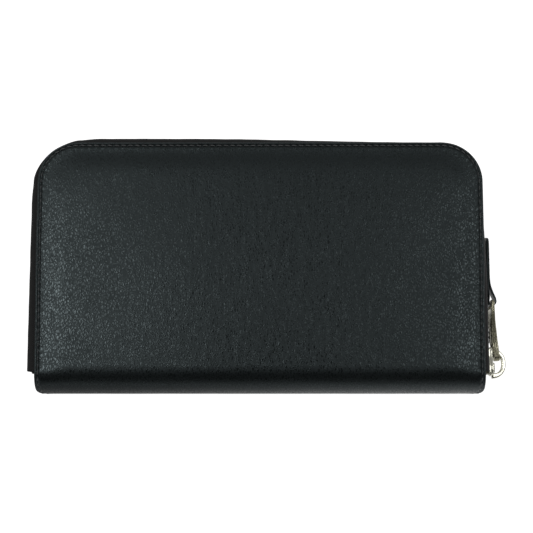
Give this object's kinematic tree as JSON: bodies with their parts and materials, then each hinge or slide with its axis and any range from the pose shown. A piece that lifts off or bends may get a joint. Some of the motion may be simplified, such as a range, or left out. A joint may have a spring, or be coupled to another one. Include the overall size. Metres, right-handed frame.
{
  "type": "long wallet",
  "caption": "Long zip-around leather wallet with card slots, bill compartments and a zipped coin pocket.",
  "frame": {"origin": "middle of the front cover's outer face, which the wallet rests on", "axes": "+X along the wallet's length, towards the end where the closed slider is; +Y from the fold towards the long side of the zip; +Z through the thickness, from the front cover to the back cover"},
  "size_m": [0.2018, 0.1081, 0.024],
  "materials": {
    "cover_leather": "smooth calf with a fine grain, soft sheen",
    "tab_leather": "smooth calf, soft sheen",
    "card_leather": "thin calf, satin",
    "lining": "woven, matte",
    "board": "matte",
    "zip_tape": "herringbone woven tape, matte",
    "zip_teeth": "antique silver plate",
    "zip_metal": "antique silver plate, polished"
  },
  "bodies": {
    "front_cover": {"front_cover_leather": "cover_leather", "front_board": "board", "front_lining": "lining", "front_card_slot_1": "card_leather", "front_card_slot_2": "card_leather", "front_card_slot_3": "card_leather", "front_zip_tape": "zip_tape", "front_zip_teeth": "zip_teeth", "zip_bottom_stop": "zip_metal", "gusset_front_left": "card_leather", "gusset_front_right": "card_leather"},
    "spine": {"spine_leather": "cover_leather", "spine_lining": "lining", "coin_pocket_front_panel": "card_leather", "coin_pocket_back_panel": "card_leather", "coin_pocket_band": "card_leather", "coin_zip_tape_front": "zip_tape", "coin_zip_tape_back": "zip_tape", "coin_zip_teeth_front": "zip_teeth", "coin_zip_teeth_back": "zip_teeth"},
    "back_cover": {"back_cover_leather": "cover_leather", "back_board": "board", "back_lining": "lining", "back_card_slot_1": "card_leather", "back_card_slot_2": "card_leather", "back_card_slot_3": "card_leather", "back_zip_tape": "zip_tape", "back_zip_teeth": "zip_teeth", "gusset_back_left": "card_leather", "gusset_back_right": "card_leather"},
    "zip_slider": {"zip_slider_body": "zip_metal", "zip_slider_crown": "zip_metal"},
    "zip_puller": {"zip_puller": "zip_metal"},
    "puller_tab": {"puller_leather_tab": "tab_leather"},
    "coin_slider": {"coin_slider_body": "zip_metal", "coin_slider_crown": "zip_metal"},
    "coin_puller": {"coin_puller": "zip_metal"}
  },
  "joints": [
    {"name": "spine_fold", "type": "hinge", "parent": "front_cover", "child": "spine", "pos_m": [0, -0.044, 0], "axis": [1, 0, 0], "range_deg": [0, 22], "deforming": ["gusset_front_left", "gusset_front_right"]},
    {"name": "back_cover_fold", "type": "hinge", "parent": "spine", "child": "back_cover", "pos_m": [0, -0.044, 0.024], "axis": [1, 0, 0], "range_deg": [0, 22], "deforming": ["gusset_back_left", "gusset_back_right"]},
    {"name": "slider_travel", "type": "slide", "parent": "front_cover", "child": "zip_slider", "axis": [0, 1, 0], "range_m": [0, 0.066]},
    {"name": "puller_swing", "type": "hinge", "parent": "zip_slider", "child": "zip_puller", "pos_m": [0.10075, -0.0382, 0.012], "axis": [0, 0, -1], "range_deg": [0, 120]},
    {"name": "tab_swing", "type": "hinge", "parent": "zip_puller", "child": "puller_tab", "pos_m": [0.09918, -0.014, 0.012], "axis": [0, 0, -1], "range_deg": [0, 58]},
    {"name": "coin_slider_travel", "type": "slide", "parent": "spine", "child": "coin_slider", "axis": [-1, 0, 0], "range_m": [0, 0.13]},
    {"name": "coin_puller_swing", "type": "hinge", "parent": "coin_slider", "child": "coin_puller", "pos_m": [0.0712, 0.0294, 0.012], "axis": [0, 0, -1], "range_deg": [0, 150]}
  ],
  "couplings": [
    {"joint": "back_cover_fold", "follows": "spine_fold", "ratio": 1}
  ]
}
